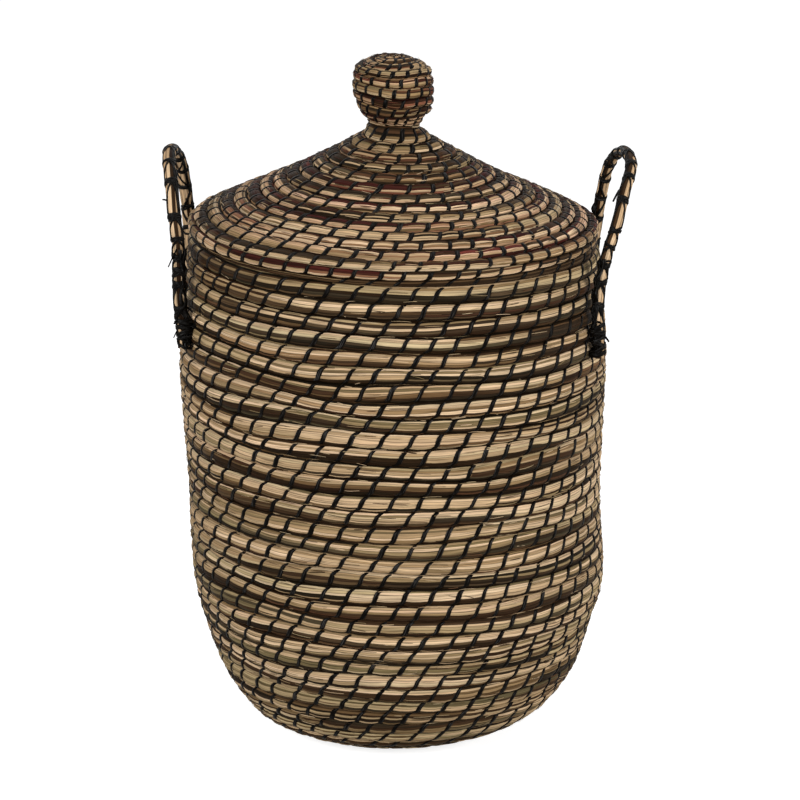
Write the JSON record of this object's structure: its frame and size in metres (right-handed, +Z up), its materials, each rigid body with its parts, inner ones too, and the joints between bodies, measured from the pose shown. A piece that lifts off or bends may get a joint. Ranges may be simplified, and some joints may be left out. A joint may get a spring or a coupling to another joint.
{
  "type": "laundry basket",
  "caption": "Round coiled grass laundry basket with a loose conical lid, a ball knob and upright loop handles sewn to the sides.",
  "frame": {"origin": "centre of the round base, on the surface that the basket stands on", "axes": "+Z up along the basket's axis; the front faces -Y; the handles are at -X (left) and +X (right)"},
  "size_m": [0.4418, 0.4, 0.647],
  "materials": {
    "straw_grass": "dry satin straw",
    "mixed_grass": "dry matte straw and brown, mixed",
    "dark_grass": "dry matte dark brown",
    "black_strip": "satin black"
  },
  "bodies": {
    "basket": {"base_centre": "mixed_grass", "base_coil": "mixed_grass", "foot_coil": "mixed_grass", "lower_wall_coil": "mixed_grass", "middle_wall_coil": "straw_grass", "upper_wall_coil": "straw_grass", "rim_coil": "straw_grass", "handle_left": "straw_grass", "handle_right": "straw_grass", "handle_left_lashing_01": "black_strip", "handle_left_lashing_02": "black_strip", "handle_left_lashing_03": "black_strip", "handle_left_lashing_04": "black_strip", "handle_left_lashing_05": "black_strip", "handle_left_lashing_06": "black_strip", "handle_left_lashing_07": "black_strip", "handle_left_lashing_08": "black_strip", "handle_left_lashing_09": "black_strip", "handle_left_lashing_10": "black_strip", "handle_left_lashing_11": "black_strip", "handle_left_lashing_12": "black_strip", "handle_left_lashing_13": "black_strip", "handle_left_lashing_14": "black_strip", "handle_left_lashing_15": "black_strip", "handle_left_lashing_16": "black_strip", "handle_left_lashing_17": "black_strip", "handle_left_lashing_18": "black_strip", "handle_left_lashing_19": "black_strip", "handle_right_lashing_01": "black_strip", "handle_right_lashing_02": "black_strip", "handle_right_lashing_03": "black_strip", "handle_right_lashing_04": "black_strip", "handle_right_lashing_05": "black_strip", "handle_right_lashing_06": "black_strip", "handle_right_lashing_07": "black_strip", "handle_right_lashing_08": "black_strip", "handle_right_lashing_09": "black_strip", "handle_right_lashing_10": "black_strip", "handle_right_lashing_11": "black_strip", "handle_right_lashing_12": "black_strip", "handle_right_lashing_13": "black_strip", "handle_right_lashing_14": "black_strip", "handle_right_lashing_15": "black_strip", "handle_right_lashing_16": "black_strip", "handle_right_lashing_17": "black_strip", "handle_right_lashing_18": "black_strip", "handle_right_lashing_19": "black_strip"},
    "lid": {"lid_coil": "mixed_grass", "lid_edge_coil": "straw_grass", "lid_seat_coil": "straw_grass", "knob_centre": "dark_grass", "knob_coil": "mixed_grass", "knob_core": "dark_grass"}
  },
  "joints": [
    {"name": "lid_lift", "type": "slide", "parent": "basket", "child": "lid", "axis": [0, 0, 1], "range_m": [0, 0.15]}
  ]
}
